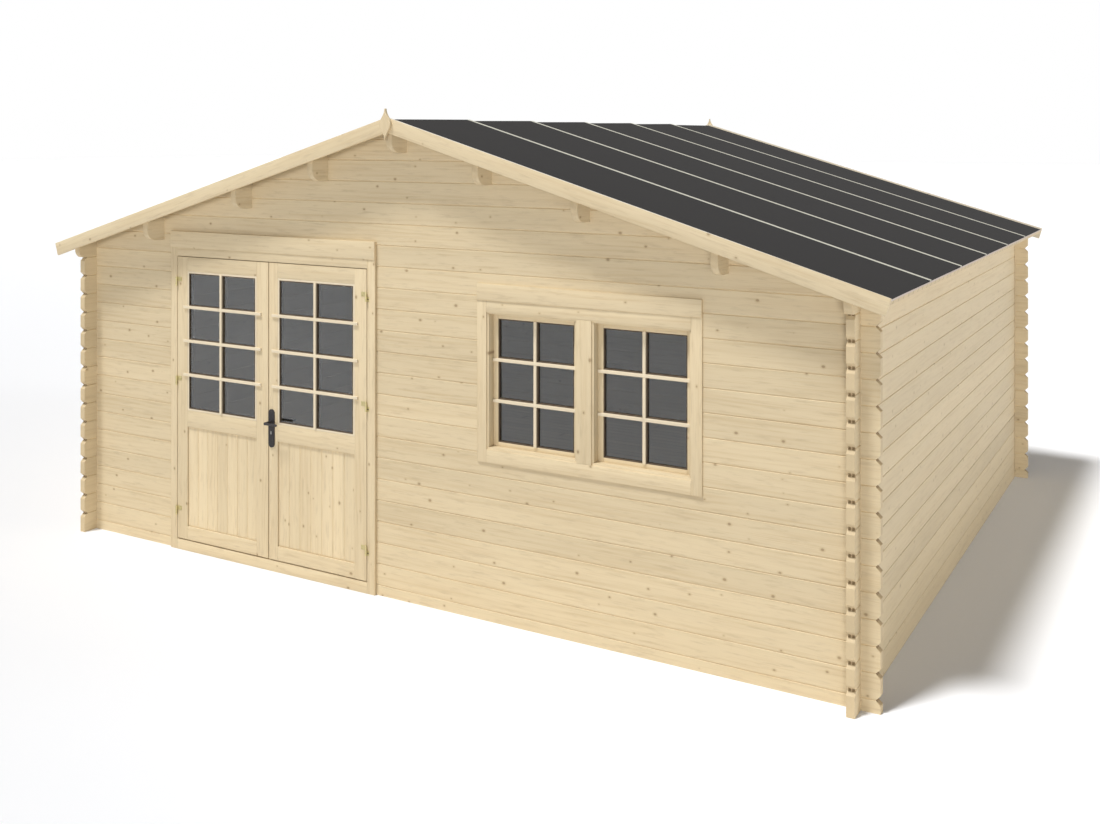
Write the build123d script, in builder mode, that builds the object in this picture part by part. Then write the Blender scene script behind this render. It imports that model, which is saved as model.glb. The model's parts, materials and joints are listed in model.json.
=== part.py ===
from build123d import *
import math
import os

os.makedirs("parts", exist_ok=True)

# Log walls, sizes in millimetres
wall_width = 5760.0
wall_depth = 4880.0
log_thickness = 44.0
log_height = 135.0
cross_log_overhang = 101.0
side_log_overhang = 110.0
side_courses = 16
groove_depth = 5.0
groove_half_width = 4.5
end_chamfer = 26.0
overrun = 10.0

# Roof
roof_pitch = 16.5
deck_thickness = 19.0
felt_thickness = 4.0
eave_overhang = 197.0
front_overhang = 177.0
back_overhang = 130.0
board_thickness = 20.0
board_depth = 92.0
board_rise = 12.0
purlin_height = 185.0
purlin_round = 80.0
purlin_places = [634.0, 1302.0, 2145.0]
top_log_round = 55.0

# Finials
finial_thickness = 20.0
finial_rise = 53.4
finial_height = 196.0
finial_width = 88.0
finial_tip = 6.0
finial_waist_share = 0.48
finial_curve_shares = [(0.34, 0.23), (0.62, 0.60)]

# Door frame
door_centre = -1125.0
door_width = 1699.0
frame_thickness = 18.0
trim_width = 62.0
trim_thickness = 20.0
stop_width = 14.0
threshold_height = 72.0
head_trim_height = 60.0
door_board_height = 114.0
door_board_thickness = 26.0

# Door leaves
leaf_gap = 5.0
meeting_gap = 9.0
leaf_bottom = 80.0
leaf_thickness = 44.0
joint_offset = 13.0
hinge_stile = 97.0
left_meeting_stile = 105.0
right_meeting_stile = 76.0
top_rail = 100.0
lock_rail_low = 875.0
lock_rail_height = 115.0
bottom_rail = 95.0
panel_thickness = 20.0
panel_recess = 10.0
glass_thickness = 4.0
glass_recess = 8.0

# Hinges
hinge_low_inset = 197.0
hinge_top_inset = 174.5
hinge_middle_share = 0.567
hinge_length = 62.0
hinge_radius = 7.0
hinge_pin_radius = 3.5
hinge_pin_engagement = 24.0
hinge_standoff = 10.0
leaf_flap_width = 42.0
frame_flap_width = 16.0
hinge_flap_thickness = 2.0
hinge_split = 1.0
running_clearance = 0.05

# Handle
handle_height = 1003.0
handle_backset = 30.0
plate_width = 50.0
plate_height = 256.0
plate_drop = 43.0
plate_thickness = 8.0
spindle_radius = 6.0
lever_hub_radius = 10.0
lever_radius = 8.0
lever_standoff = 62.0
lever_length = 106.0
hub_play = 0.5

# Window
window_centre = 1286.0
window_width = 1305.0
window_low_course = 7
window_high_course = 14
window_depth = 94.0
window_head_depth = 106.5
window_sill_depth = 35.5
window_trim_width = 66.0
window_trim_thickness = 10.0
window_trim_reveal = 12.0
window_trim_drop = 54.5
window_head_trim = 71.0
window_board_height = 98.0
window_board_thickness = 16.0
mullion_width = 98.0
sash_stile = 35.0
sash_top_rail = 33.0
sash_bottom_rail = 26.0
sash_thickness = 30.0
sash_setback = 62.0
sash_glass_recess = 14.0

# Floor
floor_thickness = 19.0
bearer_height = 50.0
bearer_width = 44.0
bearer_count = 7

# Places worked out from the sizes above
half_log = log_height / 2
half_width = wall_width / 2
inner_half_width = half_width - log_thickness
log_end = half_width + cross_log_overhang
front_reach = front_overhang + finial_thickness
back_reach = back_overhang + finial_thickness
front_face = (front_reach - back_reach - wall_depth) / 2
back_face = front_face + wall_depth
front_inner = front_face + log_thickness
back_inner = back_face - log_thickness
roof_front = front_face - front_overhang + board_thickness
roof_back = back_face + back_overhang - board_thickness
wall_front_end = front_face - side_log_overhang
wall_back_end = back_face + side_log_overhang

slope = math.radians(roof_pitch)
rise = math.tan(slope)
deck_apex = side_courses * log_height + rise * inner_half_width
board_top = deck_thickness + felt_thickness + board_rise
slope_length = (half_width + eave_overhang - board_top * math.sin(slope)) / math.cos(slope)

trim_face = front_face - trim_thickness
window_face = front_face - window_trim_thickness
door_head_joint = half_log + (side_courses - 1) * log_height
door_left = door_centre - door_width / 2
door_right = door_centre + door_width / 2
door_top = door_head_joint - frame_thickness
door_cut_left = door_left - frame_thickness
door_cut_right = door_right + frame_thickness
window_left = window_centre - window_width / 2
window_right = window_centre + window_width / 2
window_cut_left = window_left - frame_thickness
window_cut_right = window_right + frame_thickness
window_cut_low = half_log + window_low_course * log_height
window_cut_high = half_log + window_high_course * log_height
window_low = window_cut_low + window_sill_depth
window_high = window_cut_high - window_head_depth
leaf_joint = door_centre + joint_offset
leaf_top = door_top - leaf_gap
leaf_front = trim_face
leaf_back = leaf_front + leaf_thickness


# Height of the roof boards' underside at a distance from the ridge
def deck_underside(x):
    return deck_apex - rise * abs(x)


# A point on the roof: distance down the slope, height above the boards' underside
def on_slope(side, along, above):
    x = along * math.cos(slope) + above * math.sin(slope)
    return side * x, deck_apex - along * math.sin(slope) + above * math.cos(slope)


# Where the line at this height above the boards' underside crosses the ridge
def at_ridge(above):
    return 0, deck_apex + above / math.cos(slope)


# Outline of stacked logs between two faces, with a groove at each joint
def log_outline(outer, inner, low, high, first_joint):
    inward = math.copysign(groove_depth, inner - outer)
    joints = [first_joint + n * log_height for n in range(2 * side_courses)]
    up = []
    down = []
    for joint in joints:
        if low - groove_half_width < joint < high + groove_half_width:
            below = max(joint - groove_half_width, low)
            above = min(joint + groove_half_width, high)
            if joint > low:
                up.append((outer, below))
                down.append((inner, below))
            up.append((outer + inward, joint))
            down.append((inner - inward, joint))
            if joint < high:
                up.append((outer, above))
                down.append((inner, above))
    if not joints_at(joints, low):
        up.insert(0, (outer, low))
        down.insert(0, (inner, low))
    if not joints_at(joints, high):
        up.append((outer, high))
        down.append((inner, high))
    return up + down[::-1]


# Whether a height is one of the joints
def joints_at(joints, height):
    return any(abs(joint - height) < groove_half_width for joint in joints)


# A log wall that runs across the shed, between two ends
def add_cross_wall(outer, inner, left, right, low, high):
    with BuildSketch(Plane.YZ.offset(left)) as outline:
        with BuildLine():
            Polyline(*log_outline(outer, inner, low, high, half_log), close=True)
        make_face()
    extrude(outline.sketch, amount=right - left)


# Notches where the side walls' logs pass through a cross wall
def cut_cross_notches(side, middle):
    centres = [half_log + n * log_height for n in range(side_courses)]
    x = side * (half_width - log_thickness / 2)
    with Locations(*[(x, middle, z) for z in centres]):
        Box(log_thickness, log_thickness, half_log, mode=Mode.SUBTRACT)


# Bevels on the ends of a cross wall's logs
def cut_cross_ends(side, middle):
    reach = end_chamfer + overrun
    with BuildSketch(Plane.XZ.offset(-middle - log_thickness)) as bevels:
        for n in range(side_courses + 1):
            joint = half_log + n * log_height
            tip = side * (log_end - end_chamfer)
            outside = side * (log_end + overrun)
            with BuildLine():
                Polyline((tip, joint), (outside, joint + reach), (outside, joint - reach), close=True)
            make_face()
    extrude(bevels.sketch, amount=log_thickness * 2, mode=Mode.SUBTRACT)


# Everything above the underside of the roof boards is cut away
def cut_at_roof(front, back):
    reach = log_end + overrun
    peak = deck_apex + purlin_height + overrun
    with BuildSketch(Plane.XZ.offset(-back - overrun)) as above_roof:
        with BuildLine():
            Polyline((-reach, deck_underside(reach)), (0, deck_apex), (reach, deck_underside(reach)),
                     (reach, peak), (-reach, peak), close=True)
        make_face()
    extrude(above_roof.sketch, amount=back - front + overrun * 2, mode=Mode.SUBTRACT)


# Slots in a gable for the purlins
def cut_purlin_slots(middle):
    for x in [0.0] + purlin_places + [-place for place in purlin_places]:
        bottom = deck_underside(x) - purlin_height
        with Locations((x, middle, bottom)):
            Box(log_thickness, log_thickness * 2, purlin_height * 2,
                align=(Align.CENTER, Align.CENTER, Align.MIN), mode=Mode.SUBTRACT)


# A plain block between two corners
def add_block(x_low, x_high, y_low, y_high, z_low, z_high):
    with Locations((x_low, y_low, z_low)):
        Box(x_high - x_low, y_high - y_low, z_high - z_low, align=(Align.MIN, Align.MIN, Align.MIN))


def save(piece, name):
    piece.part.label = name
    export_step(piece.part, f"parts/{name}.step")


front_middle = front_face + log_thickness / 2
back_middle = back_face - log_thickness / 2

# Front wall, split beside and over the door and the window
with BuildPart() as front_wall_left:
    add_cross_wall(front_face, front_inner, -log_end, door_cut_left, 0, door_head_joint)
    cut_cross_notches(-1, front_middle)
    cut_cross_ends(-1, front_middle)
save(front_wall_left, "front_wall_left")

with BuildPart() as front_wall_middle:
    add_cross_wall(front_face, front_inner, door_cut_right, window_cut_left, 0, window_cut_high)
save(front_wall_middle, "front_wall_middle")

with BuildPart() as front_wall_right:
    add_cross_wall(front_face, front_inner, window_cut_right, log_end, 0, window_cut_high)
    cut_cross_notches(1, front_middle)
    cut_cross_ends(1, front_middle)
save(front_wall_right, "front_wall_right")

with BuildPart() as front_wall_sill:
    add_cross_wall(front_face, front_inner, window_cut_left, window_cut_right, 0, window_cut_low)
save(front_wall_sill, "front_wall_sill")

with BuildPart() as front_wall_lintel:
    add_cross_wall(front_face, front_inner, door_cut_right, log_end, window_cut_high, door_head_joint)
    cut_cross_notches(1, front_middle)
    cut_cross_ends(1, front_middle)
save(front_wall_lintel, "front_wall_lintel")

with BuildPart() as front_gable:
    add_cross_wall(front_face, front_inner, -log_end, log_end, door_head_joint, deck_apex)
    for side in (-1, 1):
        cut_cross_notches(side, front_middle)
        cut_cross_ends(side, front_middle)
    cut_at_roof(front_face, front_inner)
    cut_purlin_slots(front_middle)
save(front_gable, "front_gable")

with BuildPart() as back_wall:
    add_cross_wall(back_face, back_inner, -log_end, log_end, 0, deck_apex)
    for side in (-1, 1):
        cut_cross_notches(side, back_middle)
        cut_cross_ends(side, back_middle)
    cut_at_roof(back_inner, back_face)
    cut_purlin_slots(back_middle)
save(back_wall, "back_wall")

# Side walls: full logs from the ground up, the top one longer and cut to the roof's slope
for side, wall_name in ((-1, "left_wall"), (1, "right_wall")):
    with BuildPart() as side_wall:
        outer = side * half_width
        inner = side * inner_half_width
        top_log_low = (side_courses - 1) * log_height
        with BuildSketch(Plane.XZ.offset(-wall_back_end)):
            with BuildLine():
                Polyline(*log_outline(outer, inner, 0, top_log_low, log_height), close=True)
            make_face()
        extrude(amount=wall_back_end - wall_front_end)
        with BuildSketch(Plane.YZ.offset(min(outer, inner))) as top_log:
            with Locations(((roof_front + roof_back) / 2, top_log_low)):
                Rectangle(roof_back - roof_front, log_height * 2, align=(Align.CENTER, Align.MIN))
            fillet(top_log.vertices().group_by(Axis.Y)[0], radius=top_log_round)
        extrude(amount=log_thickness)
        x = side * (half_width - log_thickness / 2)
        with BuildSketch(Plane.YZ.offset(x - log_thickness)):
            for n in range(1, side_courses):
                joint = n * log_height
                reach = end_chamfer + overrun
                for end, way in ((wall_front_end, -1), (wall_back_end, 1)):
                    tip = end - way * end_chamfer
                    outside = end + way * overrun
                    high = joint if n == side_courses - 1 else joint + reach
                    with BuildLine():
                        Polyline((tip, joint), (outside, high), (outside, joint - reach), close=True)
                    make_face()
        extrude(amount=log_thickness * 2, mode=Mode.SUBTRACT)
        groove = groove_half_width
        with BuildSketch(Plane.XZ.offset(-roof_back - overrun)):
            for face in (outer, inner):
                with Locations((face, top_log_low)):
                    Rectangle(groove * 2, groove * 2, rotation=45)
        extrude(amount=roof_back - roof_front + overrun * 2, mode=Mode.SUBTRACT)
        for middle in (front_middle, back_middle):
            with Locations(*[(x, middle, n * log_height) for n in range(side_courses + 1)]):
                Box(log_thickness, log_thickness, half_log, mode=Mode.SUBTRACT)
            with Locations((x, middle, side_courses * log_height)):
                Box(log_thickness, log_thickness, log_height,
                    align=(Align.CENTER, Align.CENTER, Align.MIN), mode=Mode.SUBTRACT)
        cut_at_roof(roof_front, roof_back)
    save(side_wall, wall_name)


# A purlin with rounded lower ends, its top cut to the roof
def add_purlin(x):
    bottom = deck_underside(x) - purlin_height
    with BuildSketch(Plane.YZ.offset(x - log_thickness / 2)) as profile:
        with Locations(((roof_front + roof_back) / 2, bottom)):
            Rectangle(roof_back - roof_front, purlin_height * 2, align=(Align.CENTER, Align.MIN))
        fillet(profile.vertices().group_by(Axis.Y)[0], radius=purlin_round)
    extrude(profile.sketch, amount=log_thickness)


with BuildPart() as ridge_purlin:
    add_purlin(0)
    cut_at_roof(roof_front, roof_back)
save(ridge_purlin, "ridge_purlin")

for side, purlins_name in ((-1, "left_purlins"), (1, "right_purlins")):
    with BuildPart() as purlins:
        for place in purlin_places:
            add_purlin(side * place)
        cut_at_roof(roof_front, roof_back)
    save(purlins, purlins_name)


# A layer of the roof on one side of the ridge
def add_roof_layer(side, low, high, front, back):
    with BuildSketch(Plane.XZ.offset(-back)) as layer:
        with BuildLine():
            Polyline(at_ridge(low), on_slope(side, slope_length, low), on_slope(side, slope_length, high),
                     at_ridge(high), close=True)
        make_face()
    extrude(layer.sketch, amount=back - front)


roof_level = deck_thickness + felt_thickness
for side, side_name in ((-1, "left"), (1, "right")):
    with BuildPart() as deck:
        add_roof_layer(side, 0, deck_thickness, roof_front, roof_back)
    save(deck, f"{side_name}_deck")
    with BuildPart() as felt:
        add_roof_layer(side, deck_thickness, roof_level, roof_front, roof_back)
    save(felt, f"{side_name}_felt")
    with BuildPart() as front_barge:
        add_roof_layer(side, board_top - board_depth, board_top, roof_front - board_thickness, roof_front)
    save(front_barge, f"front_{side_name}_barge")
    with BuildPart() as back_barge:
        add_roof_layer(side, board_top - board_depth, board_top, roof_back, roof_back + board_thickness)
    save(back_barge, f"back_{side_name}_barge")

# Diamond finials at both gable tops
with BuildPart() as finials:
    finial_top = at_ridge(board_top)[1] + finial_rise
    waist = finial_top - finial_height * finial_waist_share
    bottom = finial_top - finial_height
    tip = finial_tip / 2
    wide = finial_width / 2
    for back in (roof_front - board_thickness, roof_back + board_thickness + finial_thickness):
        with BuildSketch(Plane.XZ.offset(-back)):
            with BuildLine():
                for end in (finial_top, bottom):
                    Line((-tip, end), (tip, end))
                    for way in (-1, 1):
                        edge = [(way * tip, end)]
                        for height_share, width_share in finial_curve_shares:
                            edge.append((way * wide * width_share, end + (waist - end) * height_share))
                        edge.append((way * wide, waist))
                        Spline(*edge)
            make_face()
        extrude(amount=finial_thickness)
save(finials, "finials")


# An upright between two faces, from its inner edge outwards
def add_upright(inner, way, width, front, back, low, high):
    outer = inner + way * width
    add_block(min(inner, outer), max(inner, outer), front, back, low, high)


# Door frame: linings and stops in the opening, trim on the wall's face with the head trim between
stop_place = leaf_back + leaf_gap
door_trim_high = door_top + head_trim_height
with BuildPart() as door_jambs:
    for edge, way in ((door_left, -1), (door_right, 1)):
        add_upright(edge, way, frame_thickness, front_face, front_inner, 0, door_top)
        add_upright(edge, way, trim_width, trim_face, front_face, 0, door_trim_high)
        add_upright(edge, -way, stop_width, stop_place, front_inner, 0, door_top)
save(door_jambs, "door_jambs")

with BuildPart() as door_head:
    add_block(door_cut_left, door_cut_right, front_face, front_inner, door_top, door_head_joint)
    add_block(door_left, door_right, trim_face, front_face, door_top, door_trim_high)
    add_block(door_left + stop_width, door_right - stop_width, stop_place, front_inner,
              door_top - stop_width, door_top)
save(door_head, "door_head")

with BuildPart() as door_threshold:
    add_block(door_left, door_right, trim_face, stop_place, 0, threshold_height)
    add_block(door_left + stop_width, door_right - stop_width, stop_place, front_inner, 0, threshold_height)
save(door_threshold, "door_threshold")

# Window frame: linings in the opening, trim set back from their edges
window_trim_low = window_cut_low - window_trim_drop
window_back = window_face + window_depth
trim_left = window_left - window_trim_reveal
trim_right = window_right + window_trim_reveal
trim_low = window_low - window_trim_reveal
trim_high = window_high + window_trim_reveal
window_trim_high = trim_high + window_head_trim
with BuildPart() as window_jambs:
    for edge, trim_edge, way in ((window_left, trim_left, -1), (window_right, trim_right, 1)):
        add_upright(edge, way, frame_thickness, front_face, window_back, window_low, window_high)
        add_upright(trim_edge, way, window_trim_width, window_face, front_face,
                    window_trim_low, window_trim_high)
save(window_jambs, "window_jambs")

with BuildPart() as window_head:
    add_block(window_cut_left, window_cut_right, front_face, window_back, window_high, window_cut_high)
    add_block(trim_left, trim_right, window_face, front_face, trim_high, window_trim_high)
save(window_head, "window_head")

with BuildPart() as window_bottom:
    add_block(window_cut_left, window_cut_right, front_face, window_back, window_cut_low, window_low)
    add_block(trim_left, trim_right, window_face, front_face, window_trim_low, trim_low)
save(window_bottom, "window_bottom")

mullion_left = window_centre - mullion_width / 2
mullion_right = window_centre + mullion_width / 2
post_left = mullion_left - window_trim_reveal
post_right = mullion_right + window_trim_reveal
with BuildPart() as window_mullion:
    add_block(mullion_left, mullion_right, window_face, front_face, trim_low, trim_high)
    add_block(post_left, post_right, front_face, window_back, window_low, window_high)
save(window_mullion, "window_mullion")

# Cover boards over the door and the window
with BuildPart() as head_boards:
    add_block(door_left - trim_width, door_right + trim_width, front_face - door_board_thickness, front_face,
              door_trim_high, door_trim_high + door_board_height)
    add_block(trim_left - window_trim_width, trim_right + window_trim_width,
              front_face - window_board_thickness, front_face,
              window_trim_high, window_trim_high + window_board_height)
save(head_boards, "head_boards")

# Window sashes
sash_front = window_face + sash_setback
sash_back = sash_front + sash_thickness
sash_sides = ((window_left, post_left), (post_right, window_right))
sash_glass_low = window_low + sash_bottom_rail
sash_glass_high = window_high - sash_top_rail
with BuildPart() as sash_stiles:
    for left, right in sash_sides:
        add_block(left, left + sash_stile, sash_front, sash_back, window_low, window_high)
        add_block(right - sash_stile, right, sash_front, sash_back, window_low, window_high)
save(sash_stiles, "sash_stiles")

with BuildPart() as sash_rails:
    for left, right in sash_sides:
        for low, high in ((window_low, sash_glass_low), (sash_glass_high, window_high)):
            add_block(left + sash_stile, right - sash_stile, sash_front, sash_back, low, high)
save(sash_rails, "sash_rails")

with BuildPart() as window_glass:
    pane_front = sash_front + sash_glass_recess
    for left, right in sash_sides:
        add_block(left + sash_stile, right - sash_stile, pane_front, pane_front + glass_thickness,
                  sash_glass_low, sash_glass_high)
save(window_glass, "window_glass")

# Hinge axes stand in the gap between leaf and trim, in front of both
hinge_axis_y = trim_face - hinge_standoff
hinge_lines = ((door_left + leaf_gap / 2, -1), (door_right - leaf_gap / 2, 1))
hinge_low = leaf_bottom + hinge_low_inset
hinge_high = leaf_top - hinge_top_inset
hinge_middle = hinge_low + (hinge_high - hinge_low) * hinge_middle_share


# One half of each hinge on a line: a barrel and a flap that lies on its timber
def add_hinge_half(x, way, flap_width, upper):
    half = (hinge_length - hinge_split) / 2
    flap_edge = x + way * (leaf_gap / 2 + flap_width)
    for height in (hinge_low, hinge_middle, hinge_high):
        low = height + hinge_split / 2 if upper else height - hinge_length / 2
        with Locations((x, hinge_axis_y, low)):
            Cylinder(hinge_radius, half, align=(Align.CENTER, Align.CENTER, Align.MIN))
        near = x + way * leaf_gap / 2
        add_block(min(near, flap_edge), max(near, flap_edge), trim_face - hinge_flap_thickness, trim_face,
                  low, low + half)
        add_block(min(near, near + way * hinge_flap_thickness), max(near, near + way * hinge_flap_thickness),
                  hinge_axis_y, trim_face, low, low + half)
        pin_low = low if upper else low + half
        if upper:
            with Locations((x, hinge_axis_y, pin_low)):
                Cylinder(hinge_pin_radius + running_clearance, hinge_pin_engagement + hinge_split,
                         align=(Align.CENTER, Align.CENTER, Align.MIN), mode=Mode.SUBTRACT)
        else:
            with Locations((x, hinge_axis_y, pin_low)):
                Cylinder(hinge_pin_radius, hinge_pin_engagement,
                         align=(Align.CENTER, Align.CENTER, Align.MIN))


with BuildPart() as frame_hinges:
    for x, way in hinge_lines:
        add_hinge_half(x, way, frame_flap_width, False)
save(frame_hinges, "frame_hinges")

# Handle places
handle_x = leaf_joint + handle_backset
plate_middle = handle_height - plate_drop


# A round bore for the handle's spindle
def cut_spindle_bore():
    with Locations(Plane.XZ.offset(-leaf_back - overrun)):
        with Locations((handle_x, handle_height)):
            Cylinder(spindle_radius + running_clearance, leaf_thickness + overrun * 2,
                     align=(Align.CENTER, Align.CENTER, Align.MIN), mode=Mode.SUBTRACT)


# Door leaves: stiles, rails, a panel below and a pane of glass above
panel_front = leaf_front + panel_recess
pane_front = leaf_front + glass_recess
lock_rail_high = lock_rail_low + lock_rail_height
left_edges = (door_left + leaf_gap, leaf_joint - meeting_gap / 2)
right_edges = (leaf_joint + meeting_gap / 2, door_right - leaf_gap)
left_holes = (left_edges[0] + hinge_stile, left_edges[1] - left_meeting_stile)
right_holes = (right_edges[0] + right_meeting_stile, right_edges[1] - hinge_stile)
for name, edges, holes, way in (("left_leaf", left_edges, left_holes, -1),
                                ("right_leaf", right_edges, right_holes, 1)):
    hole, hole_end = holes
    with BuildPart() as stiles:
        add_block(edges[0], hole, leaf_front, leaf_back, leaf_bottom, leaf_top)
        add_block(hole_end, edges[1], leaf_front, leaf_back, leaf_bottom, leaf_top)
        if way > 0:
            cut_spindle_bore()
    save(stiles, f"{name}_stiles")
    with BuildPart() as rails:
        for low, high in ((leaf_bottom, leaf_bottom + bottom_rail), (lock_rail_low, lock_rail_high),
                          (leaf_top - top_rail, leaf_top)):
            add_block(hole, hole_end, leaf_front, leaf_back, low, high)
    save(rails, f"{name}_rails")
    with BuildPart() as panel:
        add_block(hole, hole_end, panel_front, panel_front + panel_thickness,
                  leaf_bottom + bottom_rail, lock_rail_low)
    save(panel, f"{name}_panel")
    with BuildPart() as pane:
        add_block(hole, hole_end, pane_front, pane_front + glass_thickness,
                  lock_rail_high, leaf_top - top_rail)
    save(pane, f"{name}_glass")
    with BuildPart() as leaf_hinges:
        x = hinge_lines[0][0] if way < 0 else hinge_lines[1][0]
        add_hinge_half(x, -way, leaf_flap_width, True)
    save(leaf_hinges, f"{name}_hinges")

# Back plates with round ends, outside and inside
with BuildPart() as handle_plates:
    for face in (leaf_front, leaf_back + plate_thickness):
        with BuildSketch(Plane.XZ.offset(-face)):
            with Locations((handle_x, plate_middle)):
                SlotOverall(plate_height, plate_width, rotation=90)
            with Locations((handle_x, handle_height)):
                Circle(spindle_radius + running_clearance, mode=Mode.SUBTRACT)
        extrude(amount=plate_thickness)
save(handle_plates, "handle_plates")

# Lever pair on one spindle
with BuildPart() as door_lever:
    outer_face = leaf_front - plate_thickness
    inner_face = leaf_back + plate_thickness
    outer_grip = outer_face - lever_standoff
    inner_grip = inner_face + lever_standoff
    with BuildSketch(Plane.XZ.offset(-inner_grip)):
        with Locations((handle_x, handle_height)):
            Circle(spindle_radius)
    extrude(amount=inner_grip - outer_grip)
    for near, grip in ((outer_face - hub_play, outer_grip), (inner_face + hub_play, inner_grip)):
        with BuildSketch(Plane.XZ.offset(-max(near, grip))):
            with Locations((handle_x, handle_height)):
                Circle(lever_hub_radius)
        extrude(amount=abs(near - grip))
        with BuildSketch(Plane.YZ.offset(handle_x)):
            with Locations((grip, handle_height)):
                Circle(lever_radius)
        extrude(amount=lever_length - lever_radius)
        with Locations((handle_x, grip, handle_height), (handle_x + lever_length - lever_radius, grip,
                                                          handle_height)):
            Sphere(lever_radius)
save(door_lever, "door_lever")

# Floor boards on bearers
with BuildPart() as floor_boards:
    add_block(-inner_half_width, inner_half_width, front_inner, back_inner,
              bearer_height, bearer_height + floor_thickness)
save(floor_boards, "floor_boards")

with BuildPart() as floor_bearers:
    span = inner_half_width * 2 - bearer_width
    for n in range(bearer_count):
        left = -inner_half_width + span * n / (bearer_count - 1)
        add_block(left, left + bearer_width, front_inner, back_inner, 0, bearer_height)
save(floor_bearers, "floor_bearers")
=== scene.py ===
import json
import math

import bpy
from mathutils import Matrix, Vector

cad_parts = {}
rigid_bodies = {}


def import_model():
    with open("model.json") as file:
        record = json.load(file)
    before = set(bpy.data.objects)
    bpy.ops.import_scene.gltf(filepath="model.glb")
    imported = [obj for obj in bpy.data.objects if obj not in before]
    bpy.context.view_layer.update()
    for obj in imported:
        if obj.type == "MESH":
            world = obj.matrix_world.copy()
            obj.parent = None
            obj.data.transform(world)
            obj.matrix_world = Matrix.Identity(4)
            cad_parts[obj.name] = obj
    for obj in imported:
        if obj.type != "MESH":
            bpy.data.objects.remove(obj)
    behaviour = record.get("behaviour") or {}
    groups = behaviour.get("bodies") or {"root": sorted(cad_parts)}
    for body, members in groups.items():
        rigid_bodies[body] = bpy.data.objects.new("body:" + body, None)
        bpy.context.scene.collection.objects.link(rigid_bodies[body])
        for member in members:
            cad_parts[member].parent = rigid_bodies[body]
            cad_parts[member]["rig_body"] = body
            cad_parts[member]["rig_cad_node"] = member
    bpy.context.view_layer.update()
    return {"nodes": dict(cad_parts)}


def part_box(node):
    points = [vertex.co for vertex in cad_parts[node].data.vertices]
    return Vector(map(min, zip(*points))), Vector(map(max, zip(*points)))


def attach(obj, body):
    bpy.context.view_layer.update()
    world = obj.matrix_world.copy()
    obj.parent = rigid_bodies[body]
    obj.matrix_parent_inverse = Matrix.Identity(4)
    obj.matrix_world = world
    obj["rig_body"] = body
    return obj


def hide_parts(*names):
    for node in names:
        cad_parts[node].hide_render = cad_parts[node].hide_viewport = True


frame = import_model()
nodes = frame["nodes"]
print("frame loaded:", len(nodes), "nodes")


# Shader wires: a socket with arithmetic, and one way to add any other node

class Wire:
    def __init__(self, tree, socket=None):
        self.tree = tree
        self.socket = socket

    def add(self, kind, settings=None, values=None, out=0):
        made = self.tree.nodes.new(kind)
        for name, value in (settings or {}).items():
            setattr(made, name, value)
        for name, value in (values or {}).items():
            if isinstance(value, Wire):
                self.tree.links.new(value.socket, made.inputs[name])
            else:
                made.inputs[name].default_value = value
        return Wire(self.tree, made.outputs[out] if made.outputs else None)

    def calc(self, operation, *values):
        return self.add("ShaderNodeMath", {"operation": operation}, dict(enumerate(values)))

    def __add__(self, other):
        return self.calc("ADD", self, other)

    __radd__ = __add__

    def __sub__(self, other):
        return self.calc("SUBTRACT", self, other)

    def __rsub__(self, other):
        return self.calc("SUBTRACT", other, self)

    def __mul__(self, other):
        return self.calc("MULTIPLY", self, other)

    def __truediv__(self, other):
        return self.calc("DIVIDE", self, other)

    def __pow__(self, other):
        return self.calc("POWER", self, other)

    def __abs__(self):
        return self.calc("ABSOLUTE", self)

    def smooth(self, low, high):
        # 0 below low, 1 above high, either way round
        settings = {"interpolation_type": "SMOOTHSTEP"}
        return self.add("ShaderNodeMapRange", settings, {"Value": self, "From Min": low, "From Max": high})

    def blend(self, first, second, kind="MIX"):
        # this wire is the share of the second colour
        settings = {"data_type": "RGBA", "blend_type": kind, "clamp_factor": True}
        return self.add("ShaderNodeMix", settings, {0: self, 6: first, 7: second}, out=2)

    def axis(self, letter):
        return self.add("ShaderNodeSeparateXYZ", {}, {0: self}, out=letter)

    def least(self, other):
        return self.calc("MINIMUM", self, other)

    def wave(self, turns):
        # from 0 to 1 and back
        angle = self * turns
        return angle.calc("SINE", angle) * 0.5 + 0.5

    def noise(self, scale, detail):
        return self.add("ShaderNodeTexNoise", {}, {"Vector": self, "Scale": scale, "Detail": detail})

    def bump(self, strength, depth):
        return self.add("ShaderNodeBump", {}, {"Strength": strength, "Distance": depth, "Height": self})


def newFinish(name):
    material = bpy.data.materials.new(name)
    material.use_nodes = True
    material.node_tree.nodes.clear()
    return material, Wire(material.node_tree)


def objectPlace(wire):
    # a finish follows its own piece
    return wire.add("ShaderNodeTexCoord", {}, {}, out="Object")


def closeFinish(wire, values, surface="ShaderNodeBsdfPrincipled"):
    shader = wire.add(surface, {}, values)
    wire.add("ShaderNodeOutputMaterial", {}, {"Surface": shader})


def rgba(colour):
    return (*colour, 1.0)


# Pine: streaked grain along one axis, growth bands, knots, and a tone of its own for every board

pinePlan = {
    "light": (0.673, 0.555, 0.364),
    "band": (0.572, 0.445, 0.267),
    "smudge": (0.513, 0.408, 0.260),
    "streak": (0.513, 0.375, 0.205),
    "knot": (0.277, 0.184, 0.101),
    # knot rings, and the painted shade on the slanted faces of the log-end notches
    "knotRingAndNotchShade": (0.471, 0.343, 0.186),
    "endGrain": (0.598, 0.469, 0.287),
    # the pale wash, also the colour of the painted highlight on faces that look up
    "wash": (0.790, 0.745, 0.655),
    # painted shade in the tongue gaps of the log ends
    "tongueShade": (0.255, 0.170, 0.085),
    "gap": (0.110, 0.064, 0.027),
    "toneSpread": 0.10,
    "toneDrift": 0.16,
    "roughness": 0.62,
    "roughSpread": 0.2,
    "knotPolish": 0.12,
    "gloss": 0.3,
    "bumpStrength": 0.25,
    "bumpDepth": 0.0012,
}
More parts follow.
